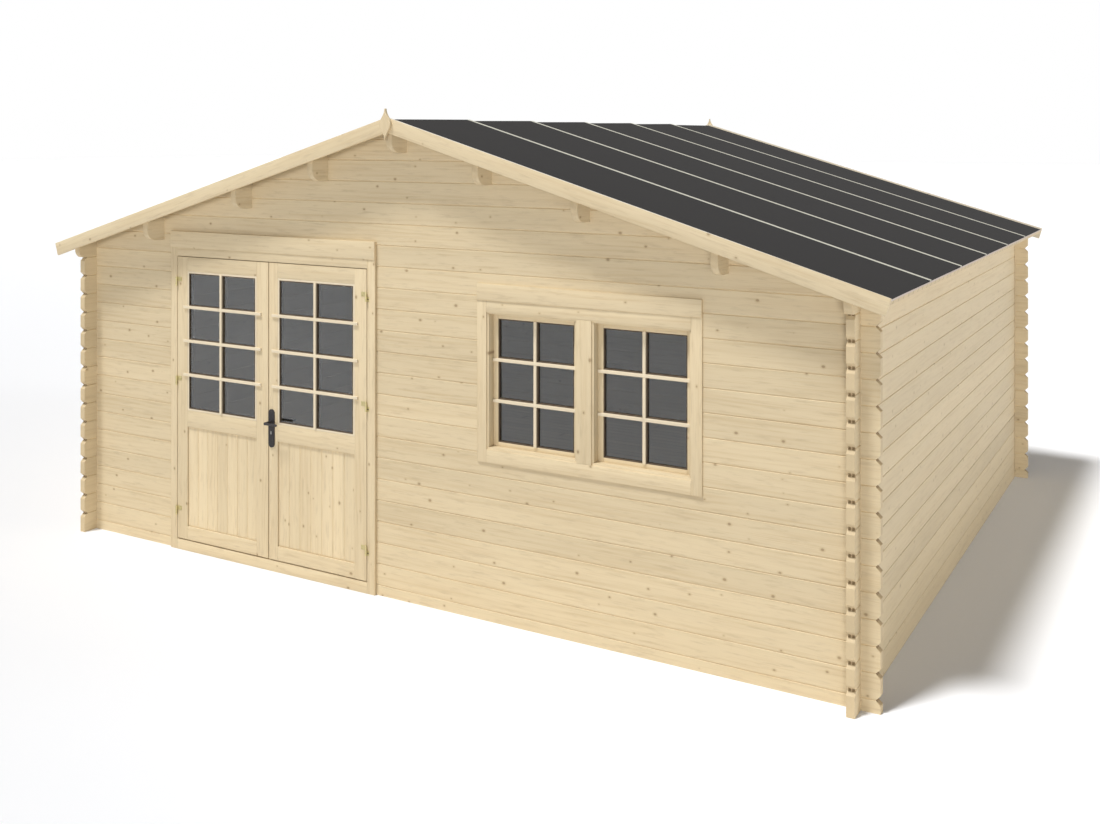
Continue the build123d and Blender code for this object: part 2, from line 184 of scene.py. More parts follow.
# each layer has its scale along the timber, its scale across it and its detail
grainPlan = {
    "drift": (0.55, 5.0, 2.0),
    "cloud": (1.3, 16.0, 3.0),
    "smudge": (6.5, 48.0, 4.0),
    "fibre": (2.6, 170.0, 4.0),
    "roughness": 0.6,
    "slide": 31.0,
    "boardStep": 1.7,
    "plainBoard": 3.0,
    "diceStart": 0.37,
}
knotPlan = {
    "perMetre": 5.2,
    "stretch": 0.75,
    "boardStep": 0.31,
    "wobble": 0.03,
    "bareShare": 0.25,
    "growth": 0.050,
    "core": (0.018, -0.016),
    "ring": (0.060, 0.0),
    "ringChance": (0.22, 0.40),
}
bandPlan = {
    "across": 30.0,
    "deep": 21.0,
    "drift": 4.2,
    "bend": 0.5,
    "turns": 6.2832,
    "endTurns": 23.0,
    "sharpness": 2.0,
}
# the most that each colour covers of the ones under it
coverPlan = {
    "band": 0.40,
    "cloud": 0.25,
    "smudge": 0.55,
    "fibre": 0.35,
    "ring": 0.35,
    "knot": 0.70,
    "endRings": 0.35,
    "end": 0.75,
    "gap": 0.75,
    "tongueShade": 0.85,
}
# where each mask starts and is full
rampPlan = {
    "bandCloud": (0.34, 0.70),
    "tintCloud": (0.42, 0.72),
    "fine": (0.50, 0.74),
    "square": (0.80, 0.95),
    "top": (0.85, 0.95),
    "seam": (0.25, 0.55),
    "slantLow": (0.45, 0.60),
    "slantHigh": (0.92, 0.80),
    "notch": (0.075, 0.055),
}
reliefPlan = {"fine": 0.5, "band": 0.3, "gap": 4.0, "gapFloor": 0.4}


def pine(name, grain, boards=None, tilt=0.0, gapWidth=0.0, tongues=None, figure=1.0, lift=1.0,
         sideShade=0.0, seamPaintedLight=0.0, wash=0.0, topHighlight=0.0):
    # boards is (axis, pitch, start): every board across that axis has its own tone and grain
    material, wire = newFinish(name)
    place = objectPlace(wire)
    if tilt:
        turn = (0.0, math.radians(tilt), 0.0)
        place = wire.add("ShaderNodeMapping", {"vector_type": "POINT"}, {"Vector": place, "Rotation": turn})
    axes = {letter: place.axis(letter) for letter in "XYZ"}
    along = axes[grain]
    across = axes["X" if grain == "Z" else "Z"]
    deep = axes["X" if grain == "Y" else "Y"]

    if boards:
        boardAxis, pitch, start = boards
        boardPlace = (axes[boardAxis] - start) / pitch
        number = boardPlace.calc("FLOOR", boardPlace)
        part = boardPlace - number
        fromJoint = part.least(1.0 - part)
    else:
        number = along * 0.0 + grainPlan["plainBoard"]
    diceValues = {"W": number + grainPlan["diceStart"]}
    dice = wire.add("ShaderNodeTexWhiteNoise", {"noise_dimensions": "1D"}, diceValues)
    slide = dice * grainPlan["slide"]

    def grainLayer(layer):
        longWay, crossWay, detail = grainPlan[layer]
        spot = wire.add("ShaderNodeCombineXYZ", {}, {
            0: along * longWay + slide, 1: across * crossWay,
            2: deep * crossWay + number * grainPlan["boardStep"]})
        return wire.add("ShaderNodeTexNoise", {"noise_dimensions": "3D"}, {
            "Vector": spot, "Scale": 1.0, "Detail": detail, "Roughness": grainPlan["roughness"]}, out="Fac")

    drift, cloud, smudge, fibre = [grainLayer(layer) for layer in ("drift", "cloud", "smudge", "fibre")]

    # Knots: one chance per cell, a quarter of the cells have none
    flat = wire.add("ShaderNodeCombineXYZ", {}, {
        0: along * knotPlan["stretch"] + slide, 1: across + number * knotPlan["boardStep"], 2: 0.0})
    cellSettings = {"voronoi_dimensions": "2D", "feature": "F1"}
    cellValues = {"Vector": flat, "Scale": knotPlan["perMetre"], "Randomness": 1.0}
    distance = wire.add("ShaderNodeTexVoronoi", cellSettings, cellValues, out="Distance")
    cellTint = wire.add("ShaderNodeTexVoronoi", cellSettings, cellValues, out="Color")
    chance = wire.add("ShaderNodeSeparateColor", {}, {0: cellTint}, out="Red")
    edge = distance + (cloud - 0.5) * knotPlan["wobble"]
    edge = edge - (chance - knotPlan["bareShare"]) * knotPlan["growth"]
    knotMask = edge.smooth(*knotPlan["core"])
    ringMask = edge.smooth(*knotPlan["ring"]) * chance.smooth(*knotPlan["ringChance"])

    # Growth bands bend round the knots
    phase = across * bandPlan["across"] + deep * bandPlan["deep"]
    phase = phase + drift * bandPlan["drift"] + ringMask * bandPlan["bend"]
    band = (phase.wave(bandPlan["turns"]) ** bandPlan["sharpness"]) * cloud.smooth(*rampPlan["bandCloud"])
    fine = fibre.smooth(*rampPlan["fine"])
    cover = (band * coverPlan["band"] + cloud.smooth(*rampPlan["tintCloud"]) * coverPlan["cloud"]) * figure
    colour = cover.blend(rgba(pinePlan["light"]), rgba(pinePlan["band"]))
    cover = smudge.smooth(*rampPlan["fine"]) * coverPlan["smudge"] * figure
    colour = cover.blend(colour, rgba(pinePlan["smudge"]))
    colour = (fine * coverPlan["fibre"] * figure).blend(colour, rgba(pinePlan["streak"]))
    colour = (ringMask * coverPlan["ring"]).blend(colour, rgba(pinePlan["knotRingAndNotchShade"]))
    colour = (knotMask * coverPlan["knot"] * figure).blend(colour, rgba(pinePlan["knot"]))

    # End grain where a face looks along the timber
    normal = wire.add("ShaderNodeNewGeometry", {}, {}, out="Normal")
    facing = abs(normal.axis(grain))
    # painted shade: faces that look along X are darkened by sideShade in the tone below
    sideways = abs(normal.axis("X")).smooth(*rampPlan["square"])
    endMask = facing.smooth(*rampPlan["square"]) * (0.0 if tilt else 1.0)
    rings = phase.wave(bandPlan["endTurns"])
    endColour = (rings * coverPlan["endRings"]).blend(rgba(pinePlan["endGrain"]), rgba(pinePlan["band"]))
    colour = (endMask * coverPlan["end"]).blend(colour, endColour)

    # Tone of each board; faces that look along X get painted shade, faces in the seams between logs get
    # painted light that lifts the seams' shade, washed faces are paler, and faces that look up get a painted
    # highlight
    upright = normal.axis("Z")
    # painted light: faces in the seams between logs are made paler, lifting the shade that falls in the
    # grooves
    inSeam = abs(upright).smooth(*rampPlan["seam"])
    tone = lift + (dice - 0.5) * pinePlan["toneSpread"] + (drift - 0.5) * pinePlan["toneDrift"]
    tone = tone - sideways * sideShade + inSeam * seamPaintedLight
    toneColour = wire.add("ShaderNodeCombineColor", {}, {0: tone, 1: tone, 2: tone})
    always = along * 0.0 + 1.0
    colour = always.blend(colour, toneColour, "MULTIPLY")
    # a pale wash over the whole piece, and a painted highlight on the faces that look up
    if wash or topHighlight:
        cover = upright.smooth(*rampPlan["top"]) * topHighlight + wash
        colour = cover.blend(colour, rgba(pinePlan["wash"]))
    height = (1.0 - fine) * reliefPlan["fine"] + (1.0 - band) * reliefPlan["band"]
    if gapWidth:
        # the dark gap between two boards
        share = gapWidth / pitch
        gap = fromJoint.smooth(share, share * reliefPlan["gapFloor"])
        colour = (gap * coverPlan["gap"]).blend(colour, rgba(pinePlan["gap"]))
        height = height - gap * reliefPlan["gap"]
    if tongues:
        # painted shade: two dark marks stand for the shaded tongue gaps in the notch between two log ends,
        # and the notch's slanted sawn faces are darkened as if in shade
        slanted = facing.smooth(*rampPlan["slantLow"]) * facing.smooth(*rampPlan["slantHigh"])
        colour = (slanted * tongues["shade"]).blend(colour, rgba(pinePlan["knotRingAndNotchShade"]))
        inNotch = fromJoint.smooth(*rampPlan["notch"])
        inNotch = inNotch * axes["Z"].smooth(tongues["top"] + notchPlan["topEdge"], tongues["top"])
        nearest = abs(deep - tongues["front"]).least(abs(deep - tongues["back"]))
        offCentre = abs(nearest - notchPlan["offset"])
        onTongue = offCentre.smooth(*[notchPlan["halfWidth"] * share for share in notchPlan["edgeShares"]])
        cover = inNotch * onTongue * slanted * coverPlan["tongueShade"]
        colour = cover.blend(colour, rgba(pinePlan["tongueShade"]))
    roughness = pinePlan["roughness"] + (fibre - 0.5) * pinePlan["roughSpread"]
    roughness = roughness - knotMask * pinePlan["knotPolish"]
    closeFinish(wire, {"Base Color": colour, "Roughness": roughness, "Specular IOR Level": pinePlan["gloss"],
                       "Normal": height.bump(pinePlan["bumpStrength"], pinePlan["bumpDepth"])})
    return material


logSize = {"height": 0.135, "thickness": 0.044}
roofPitch = 16.5
notchPlan = {
    "topCourse": 15,
    "topEdge": 0.002,
    "offset": 0.010,
    "halfWidth": 0.0065,
    "edgeShares": (1.2, 0.8),
}
boardPlan = {"panel": 0.0926, "roof": 0.105, "roofGap": 0.004, "floorGap": 0.003}


def tonguePlan(letter, low, high, shade):
    # where the tongues are in the log ends of two opposite walls
    half = logSize["thickness"] / 2
    return {"front": getattr(low, letter) + half, "back": getattr(high, letter) - half,
            "top": logSize["height"] * notchPlan["topCourse"], "shade": shade}


sideTongues = tonguePlan("x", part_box("left_wall")[0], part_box("right_wall")[1], 0.35)
crossTongues = tonguePlan("y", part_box("front_wall_left")[0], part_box("back_wall")[1], 0.90)

finishes = {
    "logsAcross": pine("pine_logs_across", "X", ("Z", logSize["height"], logSize["height"] / 2),
                       tongues=crossTongues, seamPaintedLight=0.07),
    "logsAlong": pine("pine_logs_along", "Y", ("Z", logSize["height"], 0.0), tongues=sideTongues, figure=0.6,
                      seamPaintedLight=0.04),
    "purlin": pine("pine_purlin", "Y"),
    "trimUpright": pine("pine_trim_upright", "Z", lift=1.10, sideShade=0.12),
    "trimLevel": pine("pine_trim_level", "X", lift=1.10),
    "moulding": pine("pine_moulding", "X", figure=0.3, lift=1.12, sideShade=0.20, wash=0.30),
    "bargeLeft": pine("pine_barge_left", "X", tilt=roofPitch, lift=1.10, topHighlight=0.8),
    "bargeRight": pine("pine_barge_right", "X", tilt=-roofPitch, lift=1.10, topHighlight=0.8),
    "rearBargeLeft": pine("pine_rear_barge_left", "X", tilt=roofPitch, lift=0.96, wash=0.4),
    "rearBargeRight": pine("pine_rear_barge_right", "X", tilt=-roofPitch, lift=0.96, wash=0.4),
    "panel": pine("pine_panel_boards", "Z", ("X", boardPlan["panel"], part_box("left_leaf_panel")[0].x),
                  lift=1.08),
    "deck": pine("pine_roof_boards", "X", ("Y", boardPlan["roof"], 0.0), gapWidth=boardPlan["roofGap"]),
    "floor": pine("pine_floor_boards", "X", ("Y", boardPlan["roof"], 0.0), gapWidth=boardPlan["floorGap"]),
}
print("pine finishes:", len(finishes))


# Felt: near-black mineral granules, a little uneven

feltPlan = {
    "dark": (0.0208, 0.0196, 0.0195),
    "pale": (0.0325, 0.0308, 0.0295),
    "granules": 420.0,
    "granuleDetail": 2.0,
    "granuleShare": 0.9,
    "patches": 3.5,
    "patchDetail": 4.0,
    "patchShare": 0.8,
    "roughness": 0.88,
    "roughSpread": 0.1,
    "gloss": 0.15,
    "bumpStrength": 0.3,
    "bumpDepth": 0.001,
}
edgePlan = {
    "lapEdge": (0.610, 0.595, 0.500),
    "eaveEdge": (0.620, 0.530, 0.470),
    "darker": 0.82,
    "grit": 160.0,
    "gritDetail": 3.0,
    "gritRamp": (0.3, 0.75),
    "roughness": 0.75,
    "roughSpread": 0.2,
    "bumpStrength": 0.2,
    "bumpDepth": 0.001,
}


def feltFinish():
    material, wire = newFinish("mineral_felt")
    place = objectPlace(wire)
    grit = place.noise(feltPlan["granules"], feltPlan["granuleDetail"])
    patch = place.noise(feltPlan["patches"], feltPlan["patchDetail"])
    share = (grit - 0.5) * feltPlan["granuleShare"] + patch * feltPlan["patchShare"]
    colour = share.blend(rgba(feltPlan["dark"]), rgba(feltPlan["pale"]))
    roughness = feltPlan["roughness"] + patch * feltPlan["roughSpread"]
    closeFinish(wire, {"Base Color": colour, "Roughness": roughness, "Specular IOR Level": feltPlan["gloss"],
                       "Normal": grit.bump(feltPlan["bumpStrength"], feltPlan["bumpDepth"])})
    return material


def edgeFinish(name, edge):
    material, wire = newFinish(name)
    grit = objectPlace(wire).noise(edgePlan["grit"], edgePlan["gritDetail"])
    darker = [part * edgePlan["darker"] for part in edge]
    colour = grit.smooth(*edgePlan["gritRamp"]).blend(rgba(edge), rgba(darker))
    roughness = edgePlan["roughness"] + grit * edgePlan["roughSpread"]
    closeFinish(wire, {"Base Color": colour, "Roughness": roughness,
                       "Normal": grit.bump(edgePlan["bumpStrength"], edgePlan["bumpDepth"])})
    return material


# Glass, the metals, and the dark strips that paint shade behind the glazing bars

glassPlan = {
    "tint": (0.88, 0.91, 0.91),
    "window": 1.86,
    "door": 1.97,
    "dust": 3.0,
    "dustDetail": 2.0,
    "dustRoughness": 0.02,
}


def glassFinish(name, bending):
    material, wire = newFinish(name)
    dust = objectPlace(wire).noise(glassPlan["dust"], glassPlan["dustDetail"])
    closeFinish(wire, {"Base Color": rgba(glassPlan["tint"]), "Roughness": dust * glassPlan["dustRoughness"],
                       "IOR": bending, "Transmission Weight": 1.0})
    return material


wearPlan = {
    "wear": 90.0,
    "wearDetail": 5.0,
    "wearRamp": (0.45, 0.75),
    "scratches": 700.0,
    "scratchDetail": 2.0,
    "roughSpread": 0.25,
    "bumpStrength": 0.15,
    "bumpDepth": 0.0004,
}
# each has its name, its colour, its worn colour, how metallic it is and its roughness
metalPlan = {
    "brass": ("dull_brass", (0.62, 0.54, 0.29), (0.50, 0.43, 0.20), 0.6, 0.40),
    "blackMetal": ("satin_black_metal", (0.030, 0.027, 0.029), (0.055, 0.050, 0.052), 0.3, 0.42),
    # painted shade: dark strips behind the bars stand for the shade bands at the glass's edges and beside
    # the bars
    "shadeStrip": ("painted_shade_strip", (0.085, 0.058, 0.034), (0.105, 0.073, 0.045), 0.0, 0.75),
    "steel": ("bright_steel", (0.46, 0.45, 0.43), (0.36, 0.35, 0.34), 1.0, 0.40),
}


def metalFinish(name, colour, worn, metallic, roughness):
    material, wire = newFinish(name)
    place = objectPlace(wire)
    wear = place.noise(wearPlan["wear"], wearPlan["wearDetail"])
    scratch = place.noise(wearPlan["scratches"], wearPlan["scratchDetail"])
    tint = wear.smooth(*wearPlan["wearRamp"]).blend(rgba(colour), rgba(worn))
    dull = roughness + (wear - 0.5) * wearPlan["roughSpread"]
    closeFinish(wire, {"Base Color": tint, "Metallic": metallic, "Roughness": dull,
                       "Normal": scratch.bump(wearPlan["bumpStrength"], wearPlan["bumpDepth"])})
    return material


finishes["felt"] = feltFinish()
finishes["lapEdge"] = edgeFinish("felt_lap_edge", edgePlan["lapEdge"])
finishes["eaveEdge"] = edgeFinish("felt_eave_edge", edgePlan["eaveEdge"])
finishes["glass"] = glassFinish("clear_glass", glassPlan["window"])
finishes["doorGlass"] = glassFinish("clear_door_glass", glassPlan["door"])
for finishName, plan in metalPlan.items():
    finishes[finishName] = metalFinish(*plan)

nodeFinishes = {
    "logsAcross": ["front_wall_left", "front_wall_middle", "front_wall_right", "front_wall_sill",
                   "front_wall_lintel", "front_gable", "back_wall"],
    "logsAlong": ["left_wall", "right_wall"],
    "purlin": ["ridge_purlin", "left_purlins", "right_purlins"],
    "deck": ["left_deck", "right_deck"],
    "felt": ["left_felt", "right_felt"],
    "bargeLeft": ["front_left_barge"],
    "bargeRight": ["front_right_barge"],
    "rearBargeLeft": ["back_left_barge"],
    "rearBargeRight": ["back_right_barge"],
    "trimUpright": ["finials", "door_jambs", "window_jambs", "window_mullion", "sash_stiles",
                    "left_leaf_stiles", "right_leaf_stiles"],
    "trimLevel": ["door_head", "door_threshold", "window_head", "window_bottom", "head_boards",
                  "sash_rails", "left_leaf_rails", "right_leaf_rails"],
    "panel": ["left_leaf_panel", "right_leaf_panel"],
    "glass": ["window_glass"],
    "doorGlass": ["left_leaf_glass", "right_leaf_glass"],
    "brass": ["frame_hinges", "left_leaf_hinges", "right_leaf_hinges"],
    "blackMetal": ["handle_plates", "door_lever"],
    "floor": ["floor_boards", "floor_bearers"],
}
for finishName, names in nodeFinishes.items():
    for nodeName in names:
        nodes[nodeName].data.materials.clear()
        nodes[nodeName].data.materials.append(finishes[finishName])
print("finishes on the frame:", len(nodeFinishes))


# Modelling helpers, all through Blender's own operators

anglePlan = {"edge": 35.0, "smooth": 40.0, "flat": 0.5}
standing = (math.radians(90.0), 0.0, 0.0)
nearBy = {"plane": 0.001, "face": 0.0005, "point": 0.00001}


def smoothShade():
    bpy.ops.object.shade_smooth_by_angle(angle=math.radians(anglePlan["smooth"]))


def objectMode():
    if bpy.context.object and bpy.context.object.mode != "OBJECT":
        bpy.ops.object.mode_set(mode="OBJECT")


def only(*pieces):
    objectMode()
    bpy.ops.object.select_all(action="DESELECT")
    for piece in pieces:
        piece.select_set(True)
    bpy.context.view_layer.objects.active = pieces[0] if pieces else None


def startBlock(name, low, high):
    only()
    middle = [(a + b) / 2 for a, b in zip(low, high)]
    size = [b - a for a, b in zip(low, high)]
    bpy.ops.mesh.primitive_cube_add(size=1.0, location=middle)
    block = bpy.context.object
    block.name = name
    block.data.name = name
    block.scale = size
    settle(block)
    return block


def settle(piece):
    # the piece's place goes into its mesh
    only(piece)
    bpy.ops.object.transform_apply(location=True, rotation=True, scale=True)


def pick(piece, test, kind="EDGE"):
    # leaves the piece in edit mode with every edge or face selected whose corners all pass the test
    only(piece)
    bpy.ops.object.mode_set(mode="EDIT")
    bpy.ops.mesh.select_mode(type=kind)
    bpy.ops.mesh.select_all(action="DESELECT")
    bpy.ops.object.mode_set(mode="OBJECT")
    corners = piece.data.vertices
    for part in (piece.data.edges if kind == "EDGE" else piece.data.polygons):
        part.select = all(test(corners[n].co) for n in part.vertices)
    bpy.ops.object.mode_set(mode="EDIT")


def bevelPicked(width, segments=2):
    bpy.ops.mesh.bevel(offset=width, offset_type="OFFSET", segments=segments, affect="EDGES")
    objectMode()


def roundEdges(piece, width):
    only(piece)
    edges = piece.modifiers.new("edges", "BEVEL")
    edges.width = width
    edges.segments = 2
    edges.limit_method = "ANGLE"
    edges.angle_limit = math.radians(anglePlan["edge"])
    bpy.ops.object.modifier_apply(modifier=edges.name)
    smoothShade()


def copyOf(piece, name, shift):
    only(piece)
    bpy.ops.object.duplicate(linked=False)
    twin = bpy.context.object
    twin.name = name
    twin.data.name = name
    bpy.ops.transform.translate(value=shift)
    settle(twin)
    return twin


def joined(name, pieces):
    only(*pieces)
    if len(pieces) > 1:
        bpy.ops.object.join()
    whole = bpy.context.object
    whole.name = name
    whole.data.name = name
    return whole


def dress(piece, finish, body):
    piece.data.materials.clear()
    piece.data.materials.append(finishes[finish])
    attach(piece, body)
    return piece


# Planed timber: a copy of the frame's timber with softened edges stands for it

planedPlan = {"softEdge": 0.0022, "bargeEdge": 0.003, "logEdge": 0.004}
planedNodes = {
    "front_left_barge": "bargeEdge", "front_right_barge": "bargeEdge",
    "back_left_barge": "bargeEdge", "back_right_barge": "bargeEdge",
    "ridge_purlin": "logEdge", "left_purlins": "logEdge", "right_purlins": "logEdge",
}
for nodeName in nodeFinishes["trimUpright"] + nodeFinishes["trimLevel"]:
    planedNodes[nodeName] = "softEdge"


def planed(nodeName, width):
    source = nodes[nodeName]
    body = source["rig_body"]
    only(source)
    bpy.ops.object.duplicate(linked=False)
    piece = bpy.context.object
    piece.name = nodeName + "_planed"
    piece.data.name = piece.name
    piece.parent = None
    del piece["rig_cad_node"]
    bpy.ops.object.mode_set(mode="EDIT")
    bpy.ops.mesh.customdata_custom_splitnormals_clear()
    bpy.ops.mesh.select_all(action="SELECT")
    bpy.ops.mesh.remove_doubles(threshold=nearBy["point"])
    bpy.ops.mesh.dissolve_limited(angle_limit=math.radians(anglePlan["flat"]))
    objectMode()
    roundEdges(piece, width)
    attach(piece, body)
    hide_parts(nodeName)


for nodeName, edgeName in planedNodes.items():
    planed(nodeName, planedPlan[edgeName])
print("planed timber:", len(planedNodes))


# Felt strips across the roof, each with its back edge lifted over a pale lap edge

stripPlan = {
    "firstLap": -1.705,
    "pitch": 0.840,
    "laps": 5,
    "thickness": 0.004,
    "lift": 0.008,
    "edgeWidth": 0.040,
    "edgeHeight": 0.0125,
    "edgeRound": 0.0025,
    "eaveWidth": 0.006,
    "eaveHeight": 0.006,
    "eaveRound": 0.001,
    "ridgeSpare": 0.02,
}


def onSlope(piece, side, ridgeHeight):
    # from flat to the roof's pitch, then cut upright at the ridge
    only(piece)
    piece.rotation_euler = (0.0, math.radians(roofPitch) * side, 0.0)
    piece.location = (0.0, 0.0, ridgeHeight)
    settle(piece)
    bpy.ops.object.mode_set(mode="EDIT")
    bpy.ops.mesh.select_all(action="SELECT")
    bpy.ops.mesh.bisect(plane_co=(0.0, 0.0, 0.0), plane_no=(side, 0.0, 0.0), use_fill=True, clear_inner=True)
    objectMode()


def layFelt(side, sideName):
    low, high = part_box(sideName + "_felt")
    slope = math.radians(roofPitch)
    reach = max(abs(low.x), abs(high.x))
    thickness = stripPlan["thickness"]
    length = (reach - stripPlan["eaveHeight"] * math.sin(slope)) / math.cos(slope)
    ridgeHeight = high.z - thickness / math.cos(slope)
    across = sorted((-side * stripPlan["ridgeSpare"], side * (length - stripPlan["eaveWidth"])))
    laps = [stripPlan["firstLap"] + stripPlan["pitch"] * n for n in range(stripPlan["laps"])]
    fronts = [low.y] + [lap + stripPlan["edgeWidth"] for lap in laps]
    backs = laps + [high.y]
    strips = []
    edges = []
    for front, back in zip(fronts, backs):
        strip = startBlock("strip", (across[0], front, 0.0), (across[1], back, thickness))
        if back < high.y:
            # the strip rises over the next lap edge
            pick(strip, lambda corner: corner.z > thickness / 2 and corner.y > back - nearBy["plane"])
            bpy.ops.transform.translate(value=(0.0, 0.0, stripPlan["lift"]))
            objectMode()
            edge = startBlock("lap", (across[0], back, 0.0),
                              (across[1], back + stripPlan["edgeWidth"], stripPlan["edgeHeight"]))
            pick(edge, lambda corner: corner.z > thickness)
            bevelPicked(stripPlan["edgeRound"])
            onSlope(edge, side, ridgeHeight)
            edges.append(edge)
        onSlope(strip, side, ridgeHeight)
        strips.append(strip)
    eave = sorted((side * (length - stripPlan["eaveWidth"]), side * length))
    drip = startBlock("drip", (eave[0], low.y, 0.0), (eave[1], high.y, stripPlan["eaveHeight"]))
    pick(drip, lambda corner: corner.z > thickness)
    bevelPicked(stripPlan["eaveRound"])
    onSlope(drip, side, ridgeHeight)
    dress(joined(sideName + "_felt_drip", [drip]), "eaveEdge", "shed")
    felt = dress(joined(sideName + "_felt_strips", strips), "felt", "shed")
    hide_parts(sideName + "_felt")
    dress(joined(sideName + "_felt_lap_edges", edges), "lapEdge", "shed")


layFelt(-1, "left")
layFelt(1, "right")
print("felt laid in strips:", stripPlan["laps"] + 1, "a side")


# Boards of the door panels, with a V between each two

panelPlan = {"boards": 7, "chamfer": 0.004}


def boardPanel(leaf):
    low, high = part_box(leaf + "_panel")
    pitch = (high.x - low.x) / panelPlan["boards"]
    board = startBlock(leaf + "_panel_boards", low, (low.x + pitch, high.y, high.z))
    pick(board, lambda corner: abs(corner.y - low.y) < nearBy["plane"])
    bevelPicked(panelPlan["chamfer"], 1)
    boards = [board]
    for n in range(1, panelPlan["boards"]):
        boards.append(copyOf(board, f"board{n}", (pitch * n, 0.0, 0.0)))
    panel = dress(joined(leaf + "_panel_boards", boards), "panel", leaf)
    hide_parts(leaf + "_panel")


for leaf in ("left_leaf", "right_leaf"):
    boardPanel(leaf)
print("door panels boarded")


# Glazing bars on both faces, each on a dark strip that paints the shade between bar and glass, and a bead
# round the door's glass

barPlan = {
    "width": 0.020,
    "levelDepth": 0.012,
    "uprightDepth": 0.010,
    "hingeOverlap": 0.031,
    "meetingOverlap": 0.046,
    "sashOverlap": 0.033,
    "uprightOverlap": 0.003,
    "softEdge": 0.003,
    "shadeStripInset": 0.0015,
    "shadeStripWidth": 0.006,
    "shadeStripSide": 0.005,
    "shadeStripRise": 0.007,
    "bead": 0.014,
    "leafRows": 4,
    "sashRows": 3,
}


def bar(name, low, high, frontWay):
    # a timber bar with its two outer long edges softened
    made = startBlock(name, low, high)
    face = low[1] if frontWay < 0 else high[1]
    pick(made, lambda corner: abs(corner.y - face) < nearBy["face"])
    bevelPicked(barPlan["softEdge"])
    return made


def thinFrame(opening, startY, endY, width):
    # a frame along the inside of the opening's edges
    left, right, bottom, top = opening
    only()
    bpy.ops.mesh.primitive_plane_add(size=1.0, location=((left + right) / 2, startY, (bottom + top) / 2),
                                     rotation=standing)
    ring = bpy.context.object
    ring.scale = (right - left, top - bottom, 1.0)
    settle(ring)
    bpy.ops.object.mode_set(mode="EDIT")
    bpy.ops.mesh.select_all(action="SELECT")
    bpy.ops.mesh.inset(thickness=width, depth=0.0)
    bpy.ops.mesh.delete(type="FACE")
    bpy.ops.mesh.select_all(action="SELECT")
    bpy.ops.mesh.extrude_region_move(TRANSFORM_OT_translate={"value": (0.0, endY - startY, 0.0)})
    bpy.ops.mesh.select_all(action="SELECT")
    bpy.ops.mesh.normals_make_consistent(inside=False)
    objectMode()
    return ring


def glazing(opening, faceY, glassY, rows, overlaps):
    # bars that stand on the face, and dark strips that paint the shade in the gap from them to the glass,
    # reaching above and beside each bar
    left, right, bottom, top = opening
    frontWay = -1 if faceY < glassY else 1
    half = barPlan["width"] / 2
    shadeStripHalf = half + barPlan["shadeStripSide"]
    gap = sorted((faceY, glassY))
    bars = []
    shadeStrips = [thinFrame(opening, glassY, faceY - frontWay * barPlan["shadeStripInset"], barPlan["shadeStripWidth"])]
    for row in range(1, rows):
        level = bottom + (top - bottom) * row / rows
        ys = sorted((faceY, faceY + frontWay * barPlan["levelDepth"]))
        bars.append(bar("level", (left - overlaps[0], ys[0], level - half),
                        (right + overlaps[1], ys[1], level + half), frontWay))
        shadeStrips.append(startBlock("shadeStrip", (left, gap[0], level - half + barPlan["shadeStripInset"]),
                                (right, gap[1], level + half + barPlan["shadeStripRise"])))
    middle = (left + right) / 2
    ys = sorted((faceY, faceY + frontWay * barPlan["uprightDepth"]))
    low = bottom - barPlan["uprightOverlap"]
    high = top + barPlan["uprightOverlap"]
    bars.append(bar("upright", (middle - half, ys[0], low), (middle + half, ys[1], high), frontWay))
    shadeStrips.append(startBlock("shadeStrip", (middle - shadeStripHalf, gap[0], bottom), (middle + shadeStripHalf, gap[1], top)))
    return bars, shadeStrips


def glazeLeaf(leaf, ends):
    low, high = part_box(leaf + "_glass")
    faceLow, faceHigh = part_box(leaf + "_rails")
    bead = barPlan["bead"]
    hole = (low.x, high.x, low.z, high.z)
    opening = (low.x + bead, high.x - bead, low.z + bead, high.z - bead)
    overlaps = [barPlan[end] + bead for end in ends]
    bars = []
    shadeStrips = []
    beads = []
    for face, glass in ((faceLow.y, low.y), (faceHigh.y, high.y)):
        newBars, newShadeStrips = glazing(opening, face, glass, barPlan["leafRows"], overlaps)
        bars += newBars
        shadeStrips += newShadeStrips
        beads.append(thinFrame(hole, glass, face, bead))
        roundEdges(beads[-1], barPlan["softEdge"])
    dress(joined(leaf + "_glazing_bars", bars), "moulding", leaf)
    dress(joined(leaf + "_glazing_shade_strips", shadeStrips), "shadeStrip", leaf)
    dress(joined(leaf + "_glazing_beads", beads), "moulding", leaf)


def glazeSashes():
    low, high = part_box("window_glass")
    faceLow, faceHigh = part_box("sash_rails")
    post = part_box("window_mullion")
    stile = faceLow.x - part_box("sash_stiles")[0].x
    overlaps = [barPlan["sashOverlap"]] * 2
    bars = []
    shadeStrips = []
    for left, right in ((low.x, post[0].x - stile), (post[1].x + stile, high.x)):
        opening = (left, right, low.z, high.z)
        for face, glass in ((faceLow.y, low.y), (faceHigh.y, high.y)):
            newBars, newShadeStrips = glazing(opening, face, glass, barPlan["sashRows"], overlaps)
            bars += newBars
            shadeStrips += newShadeStrips
    dress(joined("sash_glazing_bars", bars), "moulding", "shed")
    dress(joined("sash_glazing_shade_strips", shadeStrips), "shadeStrip", "shed")


glazeLeaf("left_leaf", ("hingeOverlap", "meetingOverlap"))
glazeLeaf("right_leaf", ("meetingOverlap", "hingeOverlap"))
glazeSashes()
print("glazing bars set")


# Screws in the hinges' flaps, and the keyhole's cover

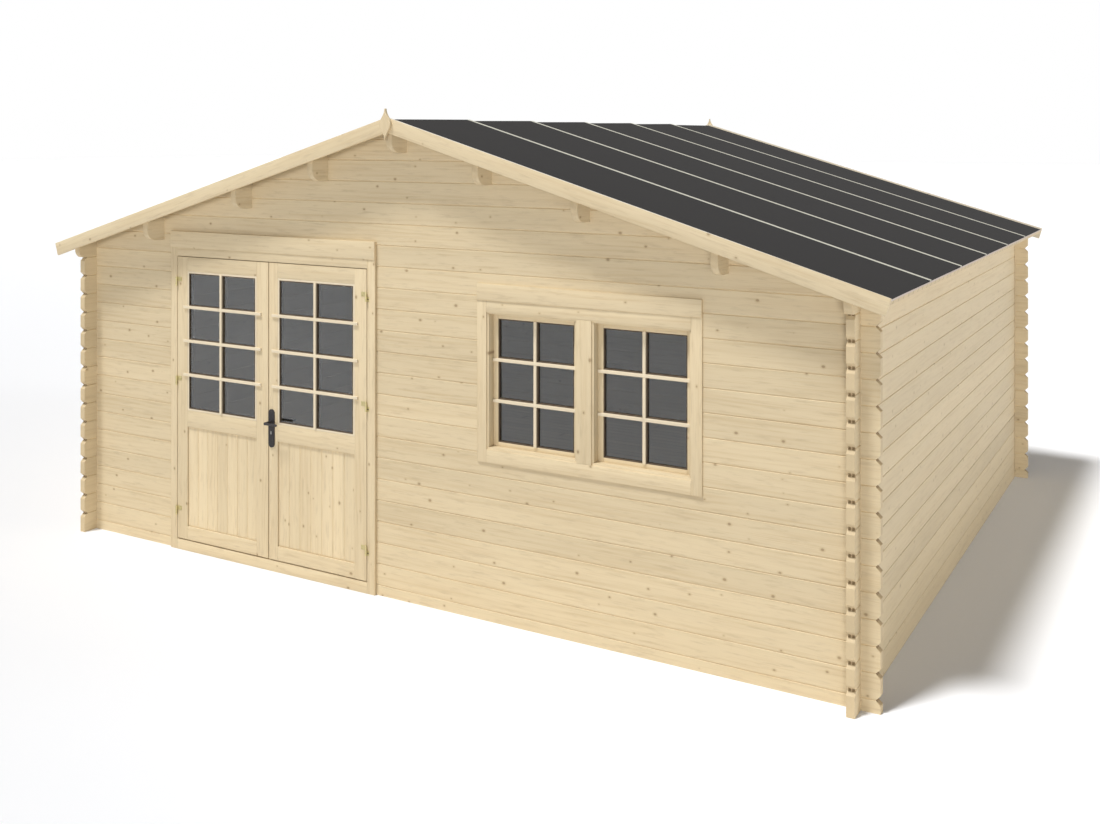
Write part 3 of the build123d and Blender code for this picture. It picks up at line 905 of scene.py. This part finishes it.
screwPlan = {
    "radius": 0.0045,
    "proud": 0.0012,
    "sides": 20,
    "rimShare": 0.35,
    "leafPlaces": (0.016, 0.035),
    "framePlaces": (0.011,),
    "flap": 0.002,
    "barrel": 0.007,
    "fromMiddle": 0.0155,
    "heights": (0.277, 1.194, 1.895),
}
keyholePlan = {"height": 0.931, "radius": 0.004, "proud": 0.0016, "tall": 3.0}


def disc(name, place, radius, proud, tall=1.0):
    # a flat head with a sunk middle, its front towards -Y
    only()
    bpy.ops.mesh.primitive_cylinder_add(vertices=screwPlan["sides"], radius=radius, depth=proud,
                                        location=place, rotation=standing)
    made = bpy.context.object
    made.name = name
    made.scale = (1.0, tall, 1.0)
    settle(made)
    pick(made, lambda corner: corner.y < place[1], "FACE")
    bpy.ops.mesh.inset(thickness=radius * screwPlan["rimShare"], depth=0.0)
    bpy.ops.transform.translate(value=(0.0, proud / 2, 0.0))
    objectMode()
    smoothShade()
    return made


def screwFlaps(nodeName, hingeLines, places, upper):
    # one screw modelled, then copied to every place and height
    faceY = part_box(nodeName)[1].y - screwPlan["flap"] - screwPlan["proud"] / 2
    spots = []
    for line, way in hingeLines:
        for height in screwPlan["heights"]:
            for place in places:
                spots.append((line + way * place, faceY, height + upper * screwPlan["fromMiddle"]))
    first = disc("screw", spots[0], screwPlan["radius"], screwPlan["proud"])
    screws = [first]
    for spot in spots[1:]:
        screws.append(copyOf(first, "screw", Vector(spot) - Vector(spots[0])))
    return joined(nodeName + "_screws", screws)


def addFittings():
    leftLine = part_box("left_leaf_hinges")[0].x + screwPlan["barrel"]
    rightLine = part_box("right_leaf_hinges")[1].x - screwPlan["barrel"]
    for leaf, line, way in (("left_leaf", leftLine, 1), ("right_leaf", rightLine, -1)):
        screws = screwFlaps(leaf + "_hinges", [(line, way)], screwPlan["leafPlaces"], 1)
        dress(screws, "brass", leaf)
    frameLines = [(leftLine, -1), (rightLine, 1)]
    # the frame's screws are black metal; their dark dots also paint the shade beside each hinge barrel
    dress(screwFlaps("frame_hinges", frameLines, screwPlan["framePlaces"], -1), "blackMetal", "shed")
    low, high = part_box("handle_plates")
    place = ((low.x + high.x) / 2, low.y - keyholePlan["proud"] / 2, keyholePlan["height"])
    cover = disc("keyhole_cover", place, keyholePlan["radius"], keyholePlan["proud"], keyholePlan["tall"])
    dress(cover, "steel", "right_leaf")


addFittings()
print("screws and keyhole set")


# Lights, floor and camera

lightPlan = {
    "sunFrom": (-0.180, -0.340, 0.923),
    "sun": 2.80,
    "sunSoftness": 9.5,
    "frontFrom": (0.38, -0.925, 0.02),
    "front": 1.62,
    "frontSoftness": 16.0,
    "sideFrom": (0.90, 0.42, 0.03),
    "side": 0.98,
    "sideSoftness": 16.0,
    "sky": 0.18,
    "floor": (0.925, 0.930, 0.945),
    "floorSize": 240.0,
    "height": 12.0,
    "white": (1.0, 1.0, 1.0),
}


def addSun(name):
    only()
    bpy.ops.object.light_add(type="SUN", location=(0.0, 0.0, lightPlan["height"]))
    sun = bpy.context.object
    sun.name = name + "_light"
    sun.data.energy = lightPlan[name]
    sun.data.angle = math.radians(lightPlan[name + "Softness"])
    sun.rotation_euler = Vector(lightPlan[name + "From"]).to_track_quat("Z", "Y").to_euler()


def lightScene():
    for name in ("sun", "front", "side"):
        addSun(name)
    world = bpy.data.worlds.new("white_studio")
    bpy.context.scene.world = world
    world.use_nodes = True
    world.node_tree.nodes.clear()
    wire = Wire(world.node_tree)
    # the eye, reflections and glass see plain white, and the rest gets a low sky
    camera, glossy, passing = [wire.add("ShaderNodeLightPath", {}, {}, out=f"Is {kind} Ray")
                               for kind in ("Camera", "Glossy", "Transmission")]
    seen = camera.calc("MAXIMUM", camera.calc("MAXIMUM", camera, glossy), passing)
    plain = rgba(lightPlan["white"])
    light = wire.add("ShaderNodeBackground", {}, {"Color": plain, "Strength": lightPlan["sky"]})
    white = wire.add("ShaderNodeBackground", {}, {"Color": plain, "Strength": 1.0})
    mixed = wire.add("ShaderNodeMixShader", {}, {0: seen, 1: light, 2: white})
    wire.add("ShaderNodeOutputWorld", {}, {"Surface": mixed})


def layFloor():
    only()
    bpy.ops.mesh.primitive_plane_add(size=lightPlan["floorSize"], location=(0.0, 0.0, 0.0))
    floor = bpy.context.object
    floor.name = "pale_floor"
    material, wire = newFinish("pale_floor")
    closeFinish(wire, {"Color": rgba(lightPlan["floor"]), "Roughness": 1.0}, "ShaderNodeBsdfDiffuse")
    floor.data.materials.append(material)


cameraPlan = {
    "place": (4.5526, -8.5060, 2.9210),
    "turn": 29.85,
    "lens": 39.34,
    "sensor": 36.0,
    "farthest": 500.0,
    "shiftUp": -0.2509,
}


def setCamera():
    only()
    turn = (standing[0], 0.0, math.radians(cameraPlan["turn"]))
    bpy.ops.object.camera_add(location=cameraPlan["place"], rotation=turn)
    camera = bpy.context.object
    camera.data.sensor_width = cameraPlan["sensor"]
    camera.data.lens = cameraPlan["lens"]
    camera.data.shift_y = cameraPlan["shiftUp"]
    camera.data.clip_end = cameraPlan["farthest"]
    bpy.context.scene.camera = camera


lightScene()
layFloor()
setCamera()
bpy.context.scene.view_settings.view_transform = "Standard"
print("studio ready")
